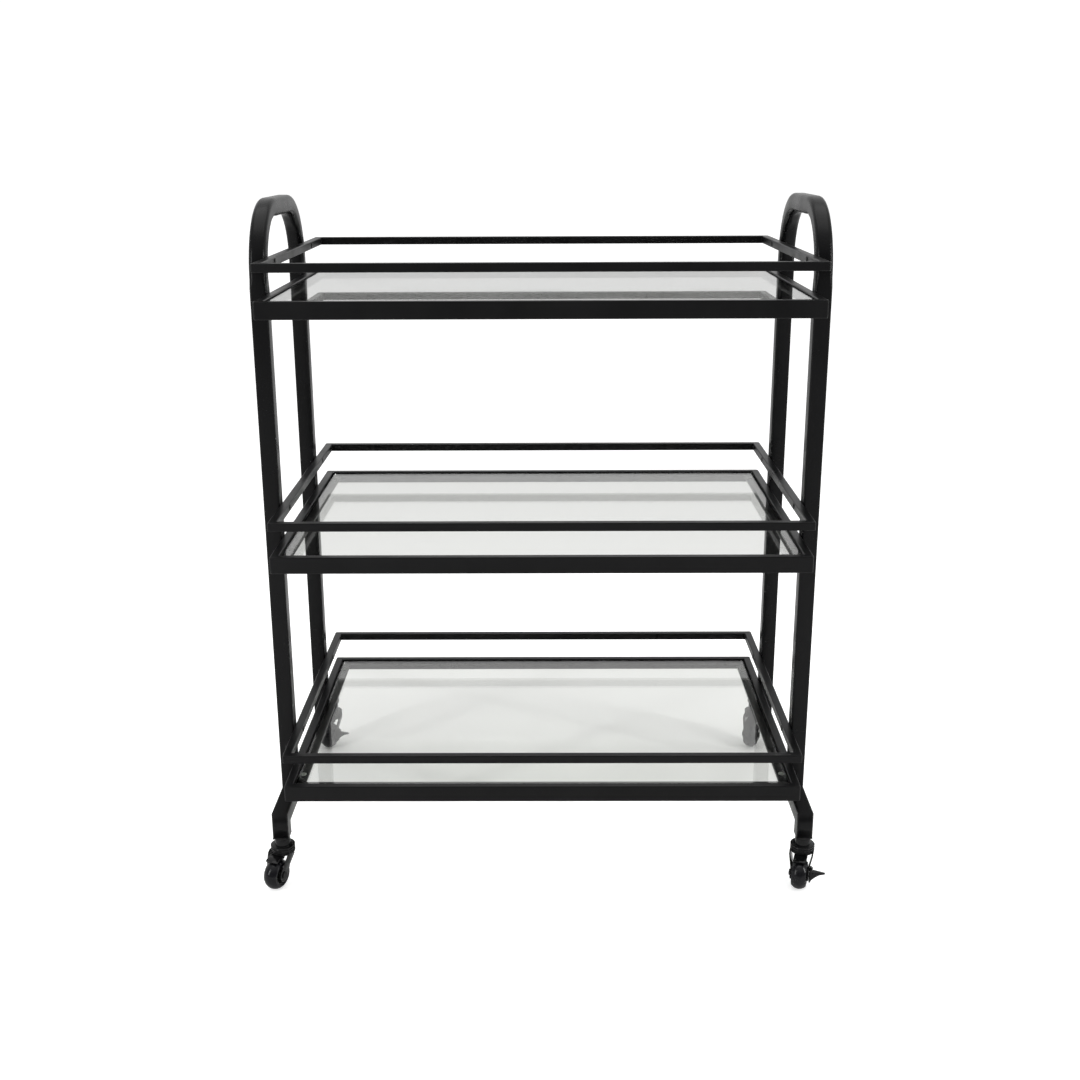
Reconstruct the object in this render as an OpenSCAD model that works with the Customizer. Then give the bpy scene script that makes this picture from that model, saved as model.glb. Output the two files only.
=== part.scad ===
// Three-level bar cart: two bent-tube side hoops carry three glass shelves with raised
// guard rails, and four swivel casters carry the hoops. Two of the casters have a brake.
// Millimetres. Origin on the floor under the middle of the shelves, X across, Y to the back.

/* [Overall] */
// width of the shelves over their outer faces
tray_w = 630; // [500:1:760]
// depth of the shelves, front to back
tray_d = 426; // [360:1:520]
// height of the top shelf's frame above the floor
top_shelf_h = 726; // [600:1:860]
// vertical spacing of the shelves
shelf_pitch = 293; // [220:1:330]
// height of the side hoops' top above the floor
hoop_h = 830; // [740:1:960]

/* [Side hoops] */
// width of the square hoop tube
post_t = 20; // [16:1:26]
// wall of the hoop tube
post_wall = 1.5; // [1:0.1:2.5]
// depth of a hoop over its two posts
hoop_d = 266; // [220:1:300]
// outer radius of the two bends at the top
bend_r = 88; // [50:1:100]
// how far the front feet stand back from the shelf's front
foot_inset = 9; // [2:1:20]
// how much farther out the rear feet stand than the front ones
rear_out = 10; // [0:1:15]
// free height between the bottom shelf's frame and the jog in the leg
jog_gap = 21; // [8:1:40]
// length of foot tube under the jog
foot_drop = 14; // [8:1:30]

/* [Shelves] */
// width of the shelf frame's tube
frame_t = 10; // [8:1:14]
// height of the shelf frame's tube
frame_h = 20; // [16:1:30]
// wall of the shelf and rail tubes
tube_wall = 1.2; // [0.8:0.1:2]
// thickness of the flat ledge bars
ledge_t = 3; // [2:0.5:5]
// width of the flat ledge bars
ledge_w = 13; // [8:1:20]
// thickness of the glass
glass_t = 5; // [4:0.5:8]
// how far the glass lies below the frame's top
glass_down = 2; // [1:0.5:4]
// gap between the glass and its frame
glass_gap = 2; // [1:0.5:4]
// thickness of the clear pads under the glass
pad_t = 0.8; // [0.5:0.1:2]
// radius of the clear pads
pad_r = 4; // [3:0.5:6]
// side of the square guard rail tube
rail_t = 10; // [8:1:14]
// height of the guard rail's top above the shelf frame
rail_up = 41; // [30:1:60]

/* [Bolts] */
// radius of the shelf bolts
frame_bolt_r = 2.5; // [2:0.5:3]
// radius of the rail bolts
rail_bolt_r = 2; // [1.5:0.5:3]
// clearance around a bolt in the tube it passes
bolt_gap = 0.2; // [0.1:0.1:0.5]
// how far a bolt reaches into the post
bolt_reach = 11; // [8:1:14]
// wall of the threaded inserts
insert_wall = 1.1; // [0.8:0.1:2]

/* [Casters] */
// wheel radius
wheel_r = 19; // [16:0.5:24]
// wheel width
wheel_w = 18; // [14:1:20]
// distance from the swivel axis back to the axle
trail = 17; // [10:1:20]
// height of the foot tube's end above the floor
foot_h = 65; // [58:1:90]
// radius of the swivel stem
stem_r = 4; // [3:0.5:5.5]
// radius of the wheel's core, inside the tyre
core_r = 12.5; // [10:0.5:13.5]
// radius of the tread's crown across the wheel
crown_r = 12; // [11:1:30]
// axle radius
axle_r = 2.5; // [2:0.5:3]
// running clearance in the wheel's, the lever's and the swivel's bores
run_gap = 0.05; // [0.02:0.01:0.1]
// gap between the wheel and each arm of the fork
side_gap = 0.7; // [0.6:0.1:2]
// thickness of the fork's arms
cheek_t = 1.8; // [1.5:0.1:3]
// radius of the fork's rounded ends at the axle
axle_boss_r = 8; // [6:0.5:10]
// clear height between the wheel and the housing over it
crown_gap = 3.3; // [2.5:0.1:6]
// gap between the tread and the fender over it
fender_gap = 1.3; // [1:0.1:2]
// radius of the ribbed housing around the stem
housing_r = 15; // [13:0.5:17]
// height of the ribbed housing
housing_h = 11.4; // [9:0.2:15]
// radius of the neck between the housing and the foot
neck_r = 9.5; // [7:0.5:11]
// depth of the grooves between the housing's ribs
groove_d = 0.8; // [0.4:0.1:1.5]

/* [Brake] */
// thickness of the brake lever's plate
lever_t = 2; // [1.5:0.1:3]
// radius of the lever's round end
lever_r = 4.5; // [4:0.5:6]
// radius of the lever's rivet
rivet_r = 2; // [1.5:0.5:2.5]
// how far the pedal stands out from the wheel's middle
pedal_reach = 31; // [26:1:40]
// width of the pedal at its root
pedal_w = 8; // [6:1:12]
// width of the pedal at its tip
pedal_tip_w = 2.5; // [2:0.5:5]

/* [Hidden] */
$fn = 96;
eps = 1;
SIDES = [-1, 1];
ENDS = [0, 2];
LEVELS = ["bottom", "middle", "top"];
CORNERS = ["front_left", "front_right", "rear_left", "rear_right"];
BRAKED = ["front_right", "rear_left"];
// turn of each caster about its stem as the cart stands
TURNS = [-23, -17, -10, -22];
frame_top = [top_shelf_h - 2 * shelf_pitch, top_shelf_h - shelf_pitch, top_shelf_h];
post_x = tray_w / 2 + post_t / 2;
post_y = hoop_d / 2 - post_t / 2;
foot_y = tray_d / 2 - foot_inset - post_t / 2;
jog_top = frame_top[0] - frame_h - jog_gap;
jog_low = jog_top - post_t;
bend_z = hoop_h - bend_r;
ledge_top = glass_down + glass_t + pad_t;
frame_bolt_down = ledge_top + ledge_t + frame_bolt_r * 1.8 + 0.2;
flange_t = 2;
washer_t = 1.7;
swivel_gap = 0.3;
boss_top = foot_h - flange_t - washer_t - swivel_gap;
cheek_in = wheel_w / 2 + side_gap;
cheek_out = cheek_in + cheek_t;
housing_low = 2 * wheel_r + crown_gap;
stem_head_z = housing_low + 1.5;
axle_head_t = 1.4;
lever_gap = 0.3;
lever_x = cheek_out + lever_gap + 0.1;
rivet_head_r = rivet_r + 1.5;
rivet_head_t = 1.1;
rivet_head_x = lever_x + lever_t + lever_gap;
pivot_y = 6 - trail;
pivot_z = wheel_r + 4;

function x_of(i) = (i % 2 == 0 ? -1 : 1) * post_x;
function y_of(i) = i < 2 ? -foot_y : foot_y + rear_out;

// a shape drawn in (Y, Z), with thickness w centred on X = 0
module in_yz(w) {
    rotate([90, 0, 90]) translate([0, 0, -w / 2]) linear_extrude(w) children();
}

module both_ways(v) {
    children();
    mirror(v) children();
}

module four_corners() {
    both_ways([1, 0, 0]) both_ways([0, 1, 0]) children();
}

// both sides of one end of the cart, drawn for the front and mirrored for the back
module at_end(i) {
    both_ways([1, 0, 0]) mirror([0, i < 2 ? 0 : 1, 0]) children();
}

// a cylinder along X from x0 to x1
module rod_x(r, x0, x1) {
    translate([x0, 0, 0]) rotate([0, 90, 0]) cylinder(r = r, h = x1 - x0);
}

// a box tube along X with mitred ends: outer face at Y = 0, inner face at Y = w
module mitred_tube(len, w, h, wall) {
    difference() {
        linear_extrude(h)
            polygon([[-len / 2, 0], [len / 2, 0], [len / 2 - w, w], [-len / 2 + w, w]]);
        translate([-len / 2 - eps, wall, wall]) cube([len + 2 * eps, w - 2 * wall, h - 2 * wall]);
    }
}

module round_rect(w, d, r) {
    square([w - 2 * r, d], center = true);
    square([w, d - 2 * r], center = true);
    for (sx = SIDES, sy = SIDES) translate([sx * (w / 2 - r), sy * (d / 2 - r)]) circle(r = r);
}

// --- side hoops ---

// the inverted U drawn t inside the hoop's outline
module arch_fill(t, low) {
    half = hoop_d / 2 - bend_r;
    intersection() {
        union() {
            for (s = SIDES) translate([s * half, bend_z]) circle(r = bend_r - t);
            translate([-half, bend_z]) square([2 * half, bend_r - t]);
        }
        translate([-hoop_d / 2, bend_z]) square([hoop_d, bend_r]);
    }
    if (low > 0) translate([-hoop_d / 2 + t, bend_z - low]) square([hoop_d - 2 * t, low]);
}

module handle(side) {
    color([0.03, 0.03, 0.03]) difference() {
        translate([side * post_x, 0, 0]) difference() {
            in_yz(post_t) difference() {
                arch_fill(0, 0);
                arch_fill(post_t, eps);
            }
            in_yz(post_t - 2 * post_wall) difference() {
                arch_fill(post_wall, eps);
                arch_fill(post_t - post_wall, eps);
            }
        }
        insert_holes(side);
    }
}

// holes for the threaded inserts in the hoop's inner faces
module insert_holes(side) {
    for (z = frame_top) both_ways([0, 1, 0]) mirror([side < 0 ? 1 : 0, 0, 0]) {
        translate([0, -post_y, z - frame_bolt_down])
            rod_x(frame_bolt_r + insert_wall, tray_w / 2 - eps, tray_w / 2 + post_wall + eps);
        translate([0, -post_y, z + rail_up - rail_t / 2])
            rod_x(rail_bolt_r + insert_wall, tray_w / 2 - eps, tray_w / 2 + post_wall + eps);
    }
}

module post() {
    difference() {
        in_yz(post_t) polygon([
            [-post_y - post_t / 2, jog_top], [-post_y + post_t / 2, jog_low],
            [-post_y + post_t / 2, bend_z], [-post_y - post_t / 2, bend_z]]);
        translate([-post_t / 2 + post_wall, -post_y - post_t / 2 + post_wall, jog_low - eps])
            cube([post_t - 2 * post_wall, post_t - 2 * post_wall, bend_z]);
    }
}

module posts(side) {
    color([0.03, 0.03, 0.03]) difference() {
        translate([side * post_x, 0, 0]) both_ways([0, 1, 0]) post();
        insert_holes(side);
    }
}

// the level tube between the post's foot end and the foot tube
module leg_jogs() {
    color([0.03, 0.03, 0.03]) for (i = ENDS) at_end(i) translate([post_x, 0, 0]) difference() {
        foot = abs(y_of(i));
        in_yz(post_t) polygon([
            [-post_y - post_t / 2, jog_top], [-post_y + post_t / 2, jog_low],
            [-foot + post_t / 2, jog_low], [-foot - post_t / 2, jog_top]]);
        translate([-post_t / 2 + post_wall, -foot - post_t, jog_low + post_wall])
            cube([post_t - 2 * post_wall, foot - post_y + 2 * post_t, post_t - 2 * post_wall]);
    }
}

module foot_tubes() {
    color([0.03, 0.03, 0.03]) for (i = ENDS) at_end(i)
        translate([post_x, -abs(y_of(i)), 0]) difference() {
            in_yz(post_t) polygon([[-post_t / 2, jog_top], [post_t / 2, jog_low],
                [post_t / 2, foot_h], [-post_t / 2, foot_h]]);
            translate([-post_t / 2 + post_wall, -post_t / 2 + post_wall, foot_h - eps])
                cube([post_t - 2 * post_wall, post_t - 2 * post_wall, jog_top - foot_h]);
        }
}

// --- shelves, each drawn at its frame's top height z ---

module frame_long(z) {
    color([0.04, 0.04, 0.04]) both_ways([0, 1, 0])
        translate([0, -tray_d / 2, z - frame_h]) mitred_tube(tray_w, frame_t, frame_h, tube_wall);
}

module frame_ends(z) {
    color([0.04, 0.04, 0.04]) both_ways([1, 0, 0]) difference() {
        translate([tray_w / 2, 0, z - frame_h]) rotate([0, 0, 90])
            mitred_tube(tray_d, frame_t, frame_h, tube_wall);
        both_ways([0, 1, 0]) translate([0, -post_y, z - frame_bolt_down])
            rod_x(frame_bolt_r + bolt_gap, tray_w / 2 - frame_t - eps, tray_w / 2 + eps);
    }
}

// four flat bars inside the frame that the glass lies over
module ledge(z) {
    inner_w = tray_w - 2 * frame_t;
    inner_d = tray_d - 2 * frame_t;
    color([0.05, 0.05, 0.05]) {
        both_ways([0, 1, 0]) translate([-inner_w / 2, -inner_d / 2, z - ledge_top - ledge_t])
            cube([inner_w, ledge_w, ledge_t]);
        both_ways([1, 0, 0])
            translate([inner_w / 2 - ledge_w, -inner_d / 2 + ledge_w + 0.5, z - ledge_top - ledge_t])
                cube([ledge_w, inner_d - 2 * ledge_w - 1, ledge_t]);
    }
}

module glass(z) {
    color([0.8, 0.9, 0.88, 0.35]) translate([0, 0, z - glass_down - glass_t])
        linear_extrude(glass_t)
            round_rect(tray_w - 2 * (frame_t + glass_gap), tray_d - 2 * (frame_t + glass_gap), 4);
}

module rail_long(z) {
    color([0.04, 0.04, 0.04]) both_ways([0, 1, 0])
        translate([0, -tray_d / 2, z + rail_up - rail_t]) mitred_tube(tray_w, rail_t, rail_t, tube_wall);
}

module rail_ends(z) {
    color([0.04, 0.04, 0.04]) both_ways([1, 0, 0]) difference() {
        translate([tray_w / 2, 0, z + rail_up - rail_t]) rotate([0, 0, 90])
            mitred_tube(tray_d, rail_t, rail_t, tube_wall);
        both_ways([0, 1, 0]) translate([0, -post_y, z + rail_up - rail_t / 2])
            rod_x(rail_bolt_r + bolt_gap, tray_w / 2 - rail_t - eps, tray_w / 2 + eps);
    }
}

module glass_pads() {
    color([0.9, 0.9, 0.9]) for (z = frame_top) four_corners()
        translate([tray_w / 2 - frame_t - ledge_w / 2, -tray_d / 2 + frame_t + ledge_w * 2.5,
            z - ledge_top]) cylinder(r = pad_r, h = pad_t);
}

// --- bolts and inserts ---

// low-head bolt along X, its head inside the shelf and its end in the post
module bolt(r, tube) {
    x0 = tray_w / 2 - tube;
    rod_x(r, x0 - eps / 2, tray_w / 2 + bolt_reach);
    difference() {
        rod_x(r * 1.7, x0 - r * 0.4, x0);
        rod_x(r * 0.6, x0 - r * 0.4 - eps, x0 - r * 0.1, $fn = 6);
    }
}

module frame_bolts() {
    color([0.1, 0.1, 0.1]) for (z = frame_top) four_corners()
        translate([0, -post_y, z - frame_bolt_down]) bolt(frame_bolt_r, frame_t);
}

module rail_bolts() {
    color([0.1, 0.1, 0.1]) for (z = frame_top) four_corners()
        translate([0, -post_y, z + rail_up - rail_t / 2]) bolt(rail_bolt_r, rail_t);
}

module insert(r) {
    difference() {
        rod_x(r + insert_wall, tray_w / 2, tray_w / 2 + bolt_reach + 2);
        rod_x(r, tray_w / 2 - eps, tray_w / 2 + bolt_reach + 2 + eps);
    }
}

module frame_inserts() {
    color([0.6, 0.6, 0.6]) for (z = frame_top) four_corners()
        translate([0, -post_y, z - frame_bolt_down]) insert(frame_bolt_r);
}

module rail_inserts() {
    color([0.6, 0.6, 0.6]) for (z = frame_top) four_corners()
        translate([0, -post_y, z + rail_up - rail_t / 2]) insert(rail_bolt_r);
}

// --- caster parts fixed to the legs ---

module at_feet() {
    for (i = ENDS) both_ways([1, 0, 0]) translate([post_x, y_of(i), 0]) children();
}

module foot_plugs() {
    inner = post_t - 2 * post_wall;
    color([0.06, 0.06, 0.06]) at_feet() difference() {
        union() {
            translate([-post_t / 2, -post_t / 2, foot_h - flange_t])
                cube([post_t, post_t, flange_t]);
            translate([-inner / 2, -inner / 2, foot_h - eps / 2])
                cube([inner, inner, foot_drop + eps / 2]);
        }
        translate([0, 0, foot_h - flange_t - eps]) cylinder(r = stem_r, h = foot_drop + 4 * eps);
    }
}

module caster_stems() {
    color([0.6, 0.6, 0.6]) at_feet() translate([0, 0, stem_head_z]) {
        cylinder(r = stem_r, h = jog_low + post_t / 2 - stem_head_z);
        cylinder(r = stem_r + 2, h = 1.6);
    }
}

module stem_washers() {
    color([0.1, 0.1, 0.1]) at_feet() translate([0, 0, foot_h - flange_t - washer_t]) difference() {
        cylinder(r = post_t / 2 - 0.5, h = washer_t);
        translate([0, 0, -eps]) cylinder(r = stem_r, h = washer_t + 2 * eps);
    }
}

// --- swivelling caster, drawn with its stem axis at the origin and trailing towards -Y ---

module at_corner(i) {
    translate([x_of(i), y_of(i), 0]) rotate([0, 0, TURNS[i]]) children();
}

module at_axle() {
    translate([0, -trail, wheel_r]) children();
}

// ribbed round housing that turns on the stem, with a neck up to the foot
module housing() {
    r = housing_r;
    low = housing_low;
    top = low + housing_h;
    pitch = (housing_h - 3) / 3;
    rotate_extrude() {
        polygon([[0, low], [r - 2, low], [r, low + 2], [r, low + 3], [r - groove_d, low + 3],
            [r - groove_d, top - 2.5], [r - 3, top], [neck_r, top], [neck_r, boss_top], [0, boss_top]]);
        for (k = [0:2]) translate([0, low + 3 + k * pitch])
            polygon([[0, pitch * 0.3], [r - 0.7, pitch * 0.3], [r, pitch * 0.45],
                [r, pitch * 0.75], [r - 0.7, pitch * 0.9], [0, pitch * 0.9]]);
    }
}

// both arms: they start at the housing's rim, lean in to the wheel and end round at the axle
module arms() {
    bend = wheel_r + axle_boss_r * 1.1;
    foot = wheel_r - axle_boss_r - eps;
    rim = housing_r - 0.3;
    intersection() {
        union() {
            at_axle() in_yz(4 * housing_r) circle(r = axle_boss_r);
            in_yz(4 * housing_r) polygon([
                [-trail - axle_boss_r * 0.85, wheel_r + axle_boss_r * 0.5],
                [-housing_r * 0.8, housing_low + 1], [-housing_r * 0.6, housing_low + 4],
                [2, housing_low + 4], [3, housing_low],
                [-trail + axle_boss_r * 0.85, wheel_r - axle_boss_r * 0.5]]);
        }
        both_ways([1, 0, 0]) rotate([90, 0, 0]) translate([0, 0, -3 * housing_r])
            linear_extrude(6 * housing_r) polygon([
                [cheek_in, foot], [cheek_out, foot], [cheek_out, bend],
                [rim, housing_low], [rim, housing_low + 4], [rim - cheek_t, housing_low + 4],
                [rim - cheek_t, housing_low], [cheek_in, bend]]);
    }
}

// short curved fender between the housing and the wheel
module fender() {
    outer = wheel_r + crown_gap + 1.2;
    at_axle() in_yz(wheel_w - 2) intersection() {
        difference() {
            circle(r = outer);
            circle(r = wheel_r + fender_gap);
        }
        polygon([[0, 0], 2 * outer * [cos(70), sin(70)], 2 * outer * [cos(115), sin(115)]]);
    }
}

module fork(i) {
    color([0.05, 0.05, 0.05]) at_corner(i) difference() {
        union() {
            housing();
            arms();
            fender();
        }
        at_axle() rod_x(axle_r, -cheek_out - eps, cheek_out + eps);
        translate([0, 0, housing_low - eps]) {
            cylinder(r = stem_r + run_gap, h = foot_h);
            cylinder(r = stem_r + 2.3, h = stem_head_z - housing_low + eps + 1.9);
        }
        if (is_braked(i)) translate([0, pivot_y, pivot_z]) rod_x(rivet_r, cheek_in - eps, cheek_out + eps);
    }
}

function is_braked(i) = len([for (b = BRAKED) if (b == CORNERS[i]) b]) > 0;

// flush on the brake's side, with a head on the others
module axle(i) {
    color([0.1, 0.1, 0.1]) at_corner(i) at_axle() {
        rod_x(axle_r, -cheek_out - 1.9, cheek_out);
        if (!is_braked(i)) rod_x(axle_r * 1.7, cheek_out, cheek_out + axle_head_t);
    }
}

module axle_nut(i) {
    color([0.1, 0.1, 0.1]) at_corner(i) at_axle() difference() {
        rod_x(4.4, -cheek_out - 1.6, -cheek_out, $fn = 6);
        rod_x(axle_r, -cheek_out - 1.6 - eps, -cheek_out + eps);
    }
}

// half profile of the tyre: its radius falls off towards the sides along the crown
module tread_profile() {
    intersection() {
        translate([wheel_r - crown_r, 0]) circle(r = crown_r);
        translate([core_r, -wheel_w / 2]) square([wheel_r - core_r, wheel_w]);
    }
}

module tyre(i) {
    color([0.05, 0.05, 0.05]) at_corner(i) at_axle() rotate([0, 90, 0])
        rotate_extrude() tread_profile();
}

// core with a hub, a thin web and a rim
module wheel(i) {
    bore = axle_r + run_gap;
    half = wheel_w / 2;
    color([0.07, 0.07, 0.07]) at_corner(i) at_axle() rotate([0, 90, 0]) rotate_extrude()
        polygon([
            [bore, -half - 0.3], [bore + 3, -half - 0.3], [bore + 3, -2.5], [core_r - 2, -2.5],
            [core_r - 2, -half + 1], [core_r, -half + 1], [core_r, half - 1],
            [core_r - 2, half - 1], [core_r - 2, 2.5], [bore + 3, 2.5],
            [bore + 3, half + 0.3], [bore, half + 0.3]]);
}

// side lever: a plate that turns on the rivet, with a pedal that tapers to its tip
module brake(i) {
    half = pedal_w / 2;
    color([0.05, 0.05, 0.05]) at_corner(i) difference() {
        union() {
            translate([lever_x + lever_t / 2, 0, 0]) in_yz(lever_t) {
                translate([pivot_y, pivot_z]) circle(r = lever_r);
                polygon([[pivot_y - lever_r * 0.5, pivot_z + lever_r * 0.86],
                    [-trail - half, wheel_r + 5.8], [-trail - half, wheel_r - 7.5],
                    [-trail + half, wheel_r - 9.5], [-trail + half + 1, wheel_r],
                    [pivot_y + lever_r * 0.9, pivot_z - lever_r * 0.4]]);
            }
            at_axle() intersection() {
                rotate([90, 0, 0]) translate([0, 0, -pedal_w]) linear_extrude(2 * pedal_w) polygon([
                    [lever_x, 5.8], [pedal_reach, 5.5], [pedal_reach, 4.3], [pedal_reach - 7, 2.4],
                    [lever_x + 7, -1], [lever_x + 3, -5], [lever_x + 1.5, -8.5], [lever_x, -9]]);
                translate([0, 0, -wheel_r]) linear_extrude(2 * wheel_r) polygon([
                    [lever_x, -half], [lever_x + 4, -half], [pedal_reach, -pedal_tip_w / 2],
                    [pedal_reach, pedal_tip_w / 2], [lever_x + 4, half], [lever_x, half]]);
            }
        }
        translate([0, pivot_y, pivot_z]) {
            rod_x(rivet_r + run_gap, lever_x - eps, lever_x + lever_t + eps);
            rod_x(rivet_head_r + 2 * lever_gap, lever_x + lever_t,
                rivet_head_x + rivet_head_t + 2 * lever_gap);
        }
    }
}

module brake_rivet(i) {
    color([0.1, 0.1, 0.1]) at_corner(i) translate([0, pivot_y, pivot_z]) {
        rod_x(rivet_r, cheek_in + 0.8, rivet_head_x);
        rod_x(rivet_head_r, rivet_head_x, rivet_head_x + rivet_head_t);
    }
}

posts(-1);  // left_posts
posts(1);  // right_posts
handle(-1);  // left_handle
handle(1);  // right_handle
leg_jogs();
foot_tubes();
for (l = [0:2]) {
    frame_long(frame_top[l]);
    frame_ends(frame_top[l]);
    ledge(frame_top[l]);
    glass(frame_top[l]);
    rail_long(frame_top[l]);
    rail_ends(frame_top[l]);
}
glass_pads();
frame_bolts();
frame_inserts();
rail_bolts();
rail_inserts();
foot_plugs();
caster_stems();
stem_washers();
for (i = [0:3]) {
    fork(i);
    axle(i);
    axle_nut(i);
    wheel(i);
    tyre(i);
    if (is_braked(i)) {
        brake(i);
        brake_rivet(i);
    }
}
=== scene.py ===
# Bar cart on wheels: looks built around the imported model, in metres, in the same frame.
import math

import bmesh
import bpy
from mathutils import Matrix, Vector


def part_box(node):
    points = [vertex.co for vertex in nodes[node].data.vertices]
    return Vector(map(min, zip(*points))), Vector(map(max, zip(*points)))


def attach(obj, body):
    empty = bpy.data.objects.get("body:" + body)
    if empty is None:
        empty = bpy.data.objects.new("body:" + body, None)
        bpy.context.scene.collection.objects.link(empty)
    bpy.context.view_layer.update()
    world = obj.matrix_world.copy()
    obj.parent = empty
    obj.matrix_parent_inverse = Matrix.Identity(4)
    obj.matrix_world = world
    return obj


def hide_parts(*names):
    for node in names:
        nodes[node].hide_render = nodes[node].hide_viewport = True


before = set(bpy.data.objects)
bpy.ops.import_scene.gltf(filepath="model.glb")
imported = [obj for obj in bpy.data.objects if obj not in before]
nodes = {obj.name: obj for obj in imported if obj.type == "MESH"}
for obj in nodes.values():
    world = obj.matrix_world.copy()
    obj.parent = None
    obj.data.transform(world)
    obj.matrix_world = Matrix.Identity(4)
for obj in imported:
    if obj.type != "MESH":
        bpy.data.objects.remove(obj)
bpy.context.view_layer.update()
LEVELS = ("bottom", "middle", "top")
CORNERS = ("front_left", "front_right", "rear_left", "rear_right")


def mm(v):
    return v / 1000.0


# outer and inner corners of a welded frame, and the rounding along its tubes
CORNER_OUT, CORNER_IN, TUBE_EDGE = mm(2.2), mm(0.8), mm(1.3)


# ---------------------------------------------------------------- mesh helpers

def new_object(name, bm, material, smooth=True):
    """An object made from a bmesh, shaded smooth or flat."""
    bmesh.ops.recalc_face_normals(bm, faces=bm.faces)
    mesh = bpy.data.meshes.new(name)
    bm.to_mesh(mesh)
    bm.free()
    obj = bpy.data.objects.new(name, mesh)
    bpy.context.collection.objects.link(obj)
    mesh.materials.append(material)
    for p in mesh.polygons:
        p.use_smooth = smooth
    return obj


def add_bevel(obj, width, segments, angle):
    """Rounds the edges of a piece that turn more than angle, in degrees."""
    mod = obj.modifiers.new("round_edges", "BEVEL")
    mod.width = width
    mod.segments = segments
    mod.limit_method = "ANGLE"
    mod.angle_limit = math.radians(angle)
    mod.use_clamp_overlap = True
    mod.harden_normals = True


def rounded_outline(w, d, r, k):
    """Corner points of a w by d rectangle with radius r, k + 1 points a corner, anticlockwise."""
    pts = []
    for sx, sy, a0 in ((1, 1, 0), (-1, 1, 90), (-1, -1, 180), (1, -1, 270)):
        for i in range(k + 1):
            a = math.radians(a0 + 90.0 * i / k)
            pts.append((sx * (w / 2 - r) + r * math.cos(a), sy * (d / 2 - r) + r * math.sin(a)))
    return pts


def ring(name, w, d, t, z0, z1, material):
    """A closed rectangular frame of tube or bar, t wide, with softened edges."""
    outer = rounded_outline(w, d, CORNER_OUT, 4)
    inner = rounded_outline(w - 2 * t, d - 2 * t, CORNER_IN, 4)
    bm = bmesh.new()
    loops = []
    for pts, z in ((outer, z0), (outer, z1), (inner, z1), (inner, z0)):
        loops.append([bm.verts.new((x, y, z)) for x, y in pts])
    n = len(outer)
    for a in range(4):
        la, lb = loops[a], loops[(a + 1) % 4]
        for i in range(n):
            j = (i + 1) % n
            bm.faces.new((la[i], la[j], lb[j], lb[i]))
    obj = new_object(name, bm, material)
    add_bevel(obj, TUBE_EDGE, 3, 50)
    return obj


def panel(name, w, d, r, z0, z1, edge, material):
    """A flat sheet with rounded corners and a ground edge all round."""
    bm = bmesh.new()
    loops = []
    for inset, z in ((edge, z0), (0.0, z0 + edge), (0.0, z1 - edge), (edge, z1)):
        pts = rounded_outline(w - 2 * inset, d - 2 * inset, r - inset, 6)
        loops.append([bm.verts.new((x, y, z)) for x, y in pts])
    n = len(loops[0])
    for la, lb in zip(loops, loops[1:]):
        for i in range(n):
            j = (i + 1) % n
            bm.faces.new((la[i], la[j], lb[j], lb[i]))
    bm.faces.new(list(reversed(loops[0])))
    bm.faces.new(loops[-1])
    return new_object(name, bm, material, smooth=False)


def sweep_yz(name, x_mid, path, side, r, r_soft, material, ripple):
    """Square tube swept along a path in the YZ plane. Each path entry is
    (y, z, angle of travel in degrees, mitre half angle in degrees, share of the ripple,
    share of the soft corner radius)."""
    crisp = rounded_outline(side, side, r, 5)
    soft = rounded_outline(side, side, r_soft, 5)
    bm = bmesh.new()
    rings = []
    for y, z, ang, half, bend, give in path:
        section = [(a[0] + (b[0] - a[0]) * give, a[1] + (b[1] - a[1]) * give)
                   for a, b in zip(crisp, soft)]
        a = math.radians(ang)
        n = (-math.sin(a), math.cos(a))
        s = 1.0 / math.cos(math.radians(half))
        loop = []
        for u, v in section:
            w = v
            if bend and v < 0:
                # the wall inside a bend gathers in shallow ripples
                w = v - ripple * bend * (1 - (2 * u / side) ** 2) ** 0.5
            loop.append(bm.verts.new((x_mid + u, y + n[0] * w * s, z + n[1] * w * s)))
        rings.append(loop)
    m = len(crisp)
    for la, lb in zip(rings, rings[1:]):
        for i in range(m):
            j = (i + 1) % m
            bm.faces.new((la[i], la[j], lb[j], lb[i]))
    bm.faces.new(rings[0])
    bm.faces.new(list(reversed(rings[-1])))
    return new_object(name, bm, material)


# ---------------------------------------------------------------- materials

def node_material(name):
    mat = bpy.data.materials.new(name)
    mat.use_nodes = True
    nt = mat.node_tree
    bsdf = nt.nodes["Principled BSDF"]
    return mat, nt, bsdf


def add(nt, kind, **values):
    n = nt.nodes.new(kind)
    for key, val in values.items():
        if key in n.inputs:
            n.inputs[key].default_value = val
        else:
            setattr(n, key, val)
    return n


def coords(nt):
    return add(nt, "ShaderNodeTexCoord").outputs["Object"]


def noise_node(nt, vec, scale, detail, rough):
    n = add(nt, "ShaderNodeTexNoise")
    n.inputs["Scale"].default_value = scale
    n.inputs["Detail"].default_value = detail
    n.inputs["Roughness"].default_value = rough
    nt.links.new(vec, n.inputs["Vector"])
    return n.outputs["Fac"]


def remap(nt, fac, lo, hi, out_lo, out_hi):
    n = add(nt, "ShaderNodeMapRange")
    n.inputs["From Min"].default_value = lo
    n.inputs["From Max"].default_value = hi
    n.inputs["To Min"].default_value = out_lo
    n.inputs["To Max"].default_value = out_hi
    nt.links.new(fac, n.inputs["Value"])
    return n.outputs["Result"]


def mix_color(nt, fac, a, b):
    n = add(nt, "ShaderNodeMix", data_type="RGBA")
    n.inputs[6].default_value = (*a, 1.0)
    n.inputs[7].default_value = (*b, 1.0)
    nt.links.new(fac, n.inputs[0])
    return n.outputs[2]


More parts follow.
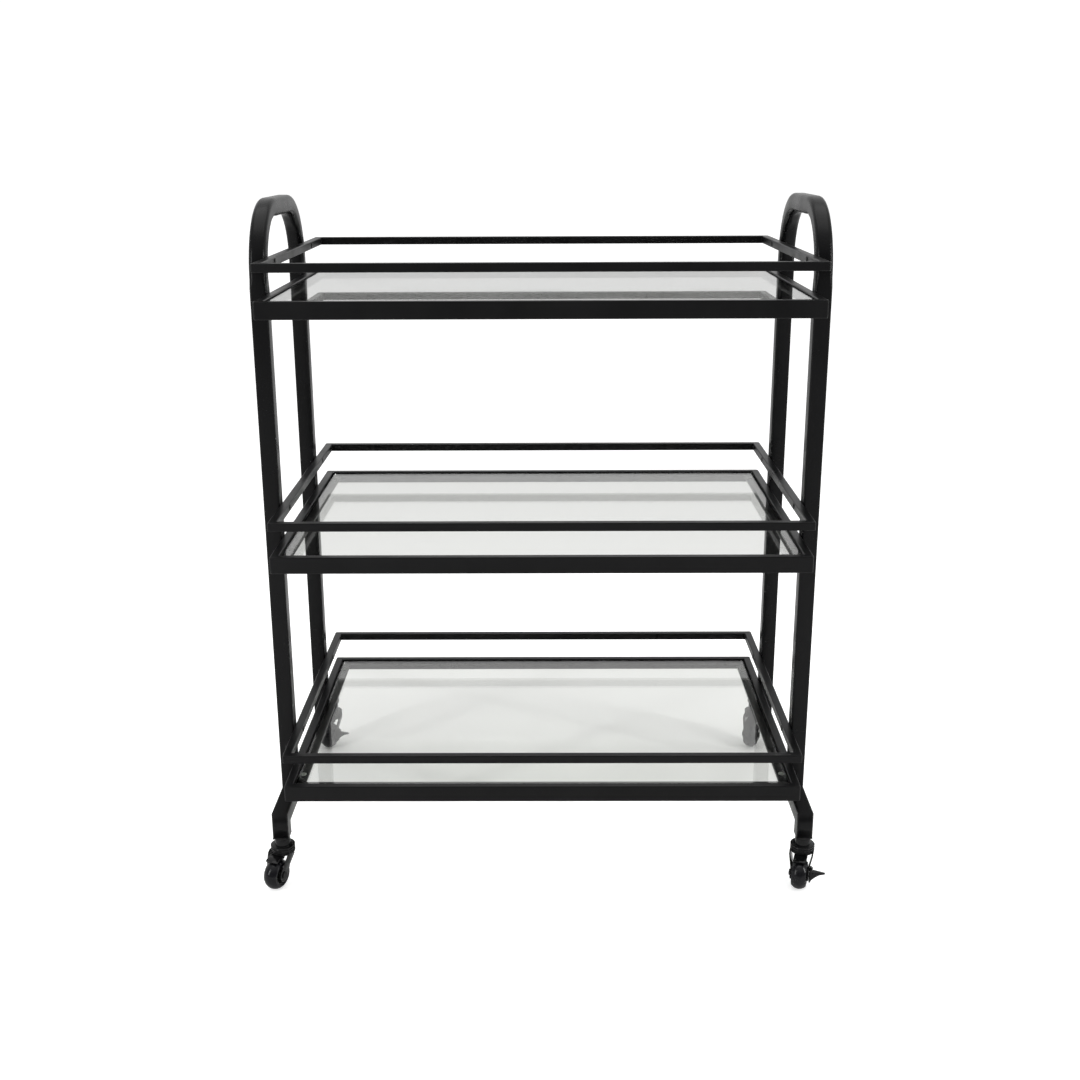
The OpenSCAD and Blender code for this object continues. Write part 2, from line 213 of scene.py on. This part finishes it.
def bump(nt, height, strength, distance, normal=None):
    n = add(nt, "ShaderNodeBump")
    n.inputs["Strength"].default_value = strength
    n.inputs["Distance"].default_value = distance
    nt.links.new(height, n.inputs["Height"])
    if normal is not None:
        nt.links.new(normal, n.inputs["Normal"])
    return n.outputs["Normal"]


def powder_coat(name, base, light, rough):
    """Black powder coat: fine orange peel and grain, with slow changes of tone and gloss."""
    mat, nt, bsdf = node_material(name)
    vec = coords(nt)
    slow = noise_node(nt, vec, 14.0, 4.0, 0.55)
    fine = noise_node(nt, vec, 620.0, 2.0, 0.5)
    grain = noise_node(nt, vec, 2400.0, 1.0, 0.5)
    tone = remap(nt, slow, 0.3, 0.7, 0.0, 1.0)
    nt.links.new(mix_color(nt, tone, base, light), bsdf.inputs["Base Color"])
    gloss = remap(nt, slow, 0.3, 0.7, rough - 0.05, rough + 0.07)
    nt.links.new(gloss, bsdf.inputs["Roughness"])
    first = bump(nt, fine, 0.10, 0.0004)
    nt.links.new(bump(nt, grain, 0.08, 0.0001, first), bsdf.inputs["Normal"])
    bsdf.inputs["IOR"].default_value = 1.5
    bsdf.inputs["Specular IOR Level"].default_value = 0.16
    return mat


def moulded_plastic(name, base, light, rough, grain_scale, grain):
    """Black moulded plastic: slow changes of tone and gloss over a fine grain."""
    mat, nt, bsdf = node_material(name)
    vec = coords(nt)
    slow = noise_node(nt, vec, 60.0, 3.0, 0.5)
    fine = noise_node(nt, vec, grain_scale, 2.0, 0.5)
    tone = remap(nt, slow, 0.3, 0.7, 0.0, 1.0)
    nt.links.new(mix_color(nt, tone, base, light), bsdf.inputs["Base Color"])
    nt.links.new(remap(nt, slow, 0.3, 0.7, rough - 0.04, rough + 0.08), bsdf.inputs["Roughness"])
    nt.links.new(bump(nt, fine, grain, 0.0002), bsdf.inputs["Normal"])
    bsdf.inputs["IOR"].default_value = 1.5
    bsdf.inputs["Specular IOR Level"].default_value = 0.24
    return mat


def zinc_steel(name):
    """Bright zinc plate with a mottled tone."""
    mat, nt, bsdf = node_material(name)
    vec = coords(nt)
    slow = noise_node(nt, vec, 90.0, 3.0, 0.6)
    fine = noise_node(nt, vec, 1500.0, 2.0, 0.5)
    nt.links.new(mix_color(nt, slow, (0.42, 0.42, 0.40), (0.66, 0.66, 0.63)), bsdf.inputs["Base Color"])
    nt.links.new(remap(nt, slow, 0.3, 0.7, 0.24, 0.42), bsdf.inputs["Roughness"])
    nt.links.new(bump(nt, fine, 0.1, 0.0001), bsdf.inputs["Normal"])
    bsdf.inputs["Metallic"].default_value = 1.0
    return mat


def clear_glass(name):
    """Tempered float glass: clear faces with a faint tint, and faint smears in the gloss."""
    mat, nt, bsdf = node_material(name)
    vec = coords(nt)
    smear = noise_node(nt, vec, 9.0, 5.0, 0.6)
    nt.links.new(remap(nt, smear, 0.35, 0.75, 0.0, 0.035), bsdf.inputs["Roughness"])
    tint = mix_color(nt, smear, (0.965, 0.975, 0.945), (0.975, 0.985, 0.96))
    nt.links.new(tint, bsdf.inputs["Base Color"])
    bsdf.inputs["Transmission Weight"].default_value = 1.0
    bsdf.inputs["IOR"].default_value = 1.5
    out = nt.nodes["Material Output"]
    path = add(nt, "ShaderNodeLightPath")
    clear = add(nt, "ShaderNodeBsdfTransparent")
    clear.inputs["Color"].default_value = (0.90, 0.91, 0.90, 1.0)
    mixer = add(nt, "ShaderNodeMixShader")
    nt.links.new(path.outputs["Is Shadow Ray"], mixer.inputs[0])
    nt.links.new(bsdf.outputs[0], mixer.inputs[1])
    nt.links.new(clear.outputs[0], mixer.inputs[2])
    nt.links.new(mixer.outputs[0], out.inputs["Surface"])
    return mat


def soft_clear(name):
    """Soft, slightly milky clear plastic."""
    mat, nt, bsdf = node_material(name)
    vec = coords(nt)
    slow = noise_node(nt, vec, 200.0, 2.0, 0.5)
    nt.links.new(mix_color(nt, slow, (0.74, 0.75, 0.72), (0.84, 0.85, 0.83)), bsdf.inputs["Base Color"])
    nt.links.new(remap(nt, slow, 0.3, 0.7, 0.25, 0.4), bsdf.inputs["Roughness"])
    bsdf.inputs["Transmission Weight"].default_value = 0.8
    return mat


black = powder_coat("black_powder_coat", (0.0030, 0.0030, 0.0033), (0.0060, 0.0060, 0.0064), 0.28)
black_frame = powder_coat("black_shelf_coat", (0.0035, 0.0035, 0.0038),
                          (0.0070, 0.0070, 0.0074), 0.32)
glass = clear_glass("tempered_glass")
pad = soft_clear("soft_pad")
plastic = moulded_plastic("gloss_black_plastic", (0.0035, 0.0035, 0.0038),
                          (0.0065, 0.0065, 0.007), 0.16, 500.0, 0.05)
core = moulded_plastic("satin_black_plastic", (0.009, 0.009, 0.009),
                       (0.014, 0.014, 0.014), 0.42, 900.0, 0.12)
tread = moulded_plastic("polyurethane_tread", (0.0045, 0.0045, 0.006),
                        (0.008, 0.008, 0.010), 0.20, 700.0, 0.08)
bolt_black = powder_coat("black_oxide", (0.012, 0.012, 0.012), (0.022, 0.022, 0.022), 0.36)
zinc = zinc_steel("zinc_plate")


# ---------------------------------------------------------------- frame, read from the CAD

def pos(node):
    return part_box(node)


post_lo, post_hi = pos("right_posts")
handle_lo, handle_hi = pos("right_handle")
jog_lo, jog_hi = pos("leg_jogs")
foot_z = pos("foot_tubes")[0][2]
tube = post_hi[0] - post_lo[0]
post_x = (post_hi[0] + post_lo[0]) / 2
post_y = handle_hi[1] - tube / 2
foot_front = -jog_lo[1] - tube / 2
foot_rear = jog_hi[1] - tube / 2
jog_z = (jog_lo[2] + jog_hi[2]) / 2
bend_z = handle_lo[2]
hoop_top = handle_hi[2]
bend_r = hoop_top - bend_z
flat_half = post_y + tube / 2 - bend_r
shelf_top = pos("top_frame_long")[1][2]
SOFTEN_OVER = mm(30)
POST_STEPS = 60
BEND_STEPS = 28


def half_hoop(foot):
    """Front half of one hoop's centre line: from the foot up, and round the bend to the flat top."""
    r = bend_r - tube / 2

    # the corners get softer over the stretch just above the top shelf
    def softness(z):
        t = min(1.0, max(0.0, (z - shelf_top) / SOFTEN_OVER))
        return t * t * (3 - 2 * t)

    # the ripples grow over the first part of the bend, t from 0 to 1 round it
    def gather(t):
        return min(1.0, 1.6 * t) ** 2 * (0.8 + 0.2 * math.cos(7 * math.pi * t))

    path = [(-foot, foot_z, 90.0, 0.0, 0.0, 0.0), (-foot, jog_z, 45.0, 45.0, 0.0, 0.0),
            (-post_y, jog_z, 45.0, 45.0, 0.0, 0.0)]
    for i in range(1, POST_STEPS):
        z = jog_z + (bend_z - jog_z) * i / POST_STEPS
        path.append((-post_y, z, 90.0, 0.0, 0.0, softness(z)))
    for i in range(BEND_STEPS + 1):
        a = math.radians(90.0 * i / BEND_STEPS)
        y, z = -flat_half - r * math.cos(a), bend_z + r * math.sin(a)
        path.append((y, z, 90.0 - math.degrees(a), 0.0, gather(i / BEND_STEPS), 1.0))
    return path


def hoop_path():
    """Centre line of one hoop and its legs, from the front foot up, over and down to the rear foot."""
    back = [(-y, z, -ang, mitre, bend, soft)
            for y, z, ang, mitre, bend, soft in reversed(half_hoop(foot_rear))]
    top = [(flat_half * (i / 4 - 1), bend_z + bend_r - tube / 2, 0.0, 0.0, 1.0 - 0.15 * (i % 2), 1.0)
           for i in range(1, 8)]
    return half_hoop(foot_front) + top + back


HOOP_EDGE, HANDLE_EDGE, RIPPLE = mm(2.4), mm(5.5), mm(2.4)
for side, extra in (("left", "leg_jogs"), ("right", "foot_tubes")):
    x = post_x if side == "right" else -post_x
    hoop = sweep_yz(side + "_hoop", x, hoop_path(), tube, HOOP_EDGE, HANDLE_EDGE, black, RIPPLE)
    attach(hoop, "cart")
    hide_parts(side + "_posts", side + "_handle", extra)

for level in LEVELS:
    lo, hi = pos(level + "_frame_long")
    w, d = hi[0] - lo[0], hi[1] - lo[1]
    t = hi[0] - pos(level + "_ledge")[1][0]
    shelf = ring(level + "_shelf_frame", w, d, t, lo[2], hi[2], black_frame)
    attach(shelf, "cart")
    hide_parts(level + "_frame_long", level + "_frame_ends")
    rlo, rhi = pos(level + "_rail_long")
    rt = rhi[2] - rlo[2]
    rail = ring(level + "_guard_rail", w, d, rt, rlo[2], rhi[2], black_frame)
    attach(rail, "cart")
    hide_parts(level + "_rail_long", level + "_rail_ends")


# ---------------------------------------------------------------- CAD nodes that stay

def keep(name, material, bevel=None):
    """A CAD node that stays gets its material and, where bevel is given, softened edges."""
    obj = nodes[name]
    obj.data.materials.clear()
    obj.data.materials.append(material)
    if bevel:
        weld = obj.modifiers.new("join_vertices", "WELD")
        weld.merge_threshold = 0.00002
        add_bevel(obj, bevel, 2, 35.0)
    for p in obj.data.polygons:
        p.use_smooth = True


GLASS_CORNER, GLASS_EDGE = mm(4), mm(0.7)
for level in LEVELS:
    keep(level + "_ledge", black_frame, mm(0.4))
    lo, hi = pos(level + "_glass")
    w, d = hi[0] - lo[0], hi[1] - lo[1]
    sheet = panel(level + "_glass_sheet", w, d, GLASS_CORNER, lo[2], hi[2], GLASS_EDGE, glass)
    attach(sheet, "cart")
    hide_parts(level + "_glass")
keep("glass_pads", pad)
keep("frame_bolts", bolt_black)
keep("rail_bolts", bolt_black)
keep("frame_inserts", zinc)
keep("rail_inserts", zinc)
keep("foot_plugs", plastic, mm(0.5))
keep("caster_stems", zinc)
keep("stem_washers", bolt_black)
for c in CORNERS:
    keep(c + "_fork", plastic, mm(0.5))
    keep(c + "_axle", bolt_black)
    keep(c + "_axle_nut", bolt_black, mm(0.3))
    keep(c + "_wheel", core, mm(0.3))
    keep(c + "_tyre", tread)
for c in ("front_right", "rear_left"):
    keep(c + "_brake", plastic, mm(0.4))
    keep(c + "_brake_rivet", bolt_black)


# ---------------------------------------------------------------- camera, light, floor

CAMERA_PLACE = (0.0073, -1.6682, 0.8911)
CAMERA_YAW, CAMERA_DOWN, CAMERA_ROLL = 0.3423, 16.7239, -0.2284

cam_data = bpy.data.cameras.new("camera")
cam_data.sensor_width = 36.0
cam_data.lens = 44.055
cam_data.clip_end = 60.0
cam = bpy.data.objects.new("camera", cam_data)
bpy.context.collection.objects.link(cam)
cam.location = CAMERA_PLACE
cam.rotation_euler = (Matrix.Rotation(math.radians(CAMERA_YAW), 3, "Z")
                      @ Matrix.Rotation(math.radians(90.0 - CAMERA_DOWN), 3, "X")
                      @ Matrix.Rotation(math.radians(CAMERA_ROLL), 3, "Z")).to_euler()
bpy.context.scene.camera = cam

bpy.context.scene.view_settings.view_transform = "Standard"
bpy.context.scene.view_settings.look = "None"

# The backdrop is plain white where it is seen directly. The glass and the gloss see a greyer
# room instead, darkest on the front side, as they do where a backdrop has been lifted to white.
BACKDROP = 1.04
ROOM_FRONT, ROOM_REST = 0.17, 0.79

world = bpy.data.worlds.new("studio")
bpy.context.scene.world = world
world.use_nodes = True
wt = world.node_tree
way = add(wt, "ShaderNodeSeparateXYZ")
wt.links.new(add(wt, "ShaderNodeTexCoord").outputs["Generated"], way.inputs[0])
behind = remap(wt, way.outputs["Y"], -0.45, 0.05, ROOM_FRONT, ROOM_REST)
above = remap(wt, way.outputs["Z"], 0.35, 0.85, 0.0, ROOM_REST)
room = add(wt, "ShaderNodeMath", operation="MAXIMUM")
wt.links.new(behind, room.inputs[0])
wt.links.new(above, room.inputs[1])
seen = add(wt, "ShaderNodeLightPath").outputs["Is Camera Ray"]
strength = add(wt, "ShaderNodeMix", data_type="FLOAT")
wt.links.new(seen, strength.inputs[0])
wt.links.new(room.outputs[0], strength.inputs[2])
strength.inputs[3].default_value = BACKDROP
background = wt.nodes["Background"]
background.inputs["Color"].default_value = (1.0, 1.0, 1.0, 1.0)
wt.links.new(strength.outputs[0], background.inputs["Strength"])


def area_light(name, loc, target, size, power):
    data = bpy.data.lights.new(name, "AREA")
    data.shape = "RECTANGLE"
    data.size, data.size_y = size
    data.energy = power
    obj = bpy.data.objects.new(name, data)
    bpy.context.collection.objects.link(obj)
    obj.location = loc
    obj.rotation_euler = (Vector(target) - Vector(loc)).to_track_quat("-Z", "Y").to_euler()


area_light("top_light", (0.0, 0.2, 3.2), (0, 0, 0.3), (3.0, 2.4), 30.0)
STRIP_SIZE, STRIP_POWER = (0.10, 1.4), 18.0
area_light("left_strip", (-1.9, -1.5, 1.2), (0, 0, 0.45), STRIP_SIZE, STRIP_POWER)
area_light("right_strip", (2.1, -0.9, 1.2), (0, 0, 0.45), STRIP_SIZE, STRIP_POWER)

FLOOR_SIDE = 30.0
FLOOR_CELLS = 12
# the floor glows a little where it is seen directly, so that it meets the backdrop unseen
FLOOR_GLOW, FLOOR_GLOW_IN_ROOM = 0.60, 0.02

steps = [FLOOR_SIDE * (i / FLOOR_CELLS - 0.5) for i in range(FLOOR_CELLS + 1)]
bm = bmesh.new()
grid = [[bm.verts.new((x, y, 0.0)) for x in steps] for y in steps]
for j in range(FLOOR_CELLS):
    for i in range(FLOOR_CELLS):
        bm.faces.new((grid[j][i], grid[j][i + 1], grid[j + 1][i + 1], grid[j + 1][i]))
floor_mat, nt, bsdf = node_material("pale_floor")
bsdf.inputs["Base Color"].default_value = (0.85, 0.85, 0.85, 1.0)
bsdf.inputs["Roughness"].default_value = 0.8
bsdf.inputs["Specular IOR Level"].default_value = 0.1
bsdf.inputs["Emission Color"].default_value = (1.0, 1.0, 1.0, 1.0)
direct = add(nt, "ShaderNodeLightPath").outputs["Is Camera Ray"]
glow = remap(nt, direct, 0.0, 1.0, FLOOR_GLOW_IN_ROOM, FLOOR_GLOW)
nt.links.new(glow, bsdf.inputs["Emission Strength"])
floor = new_object("floor", bm, floor_mat)
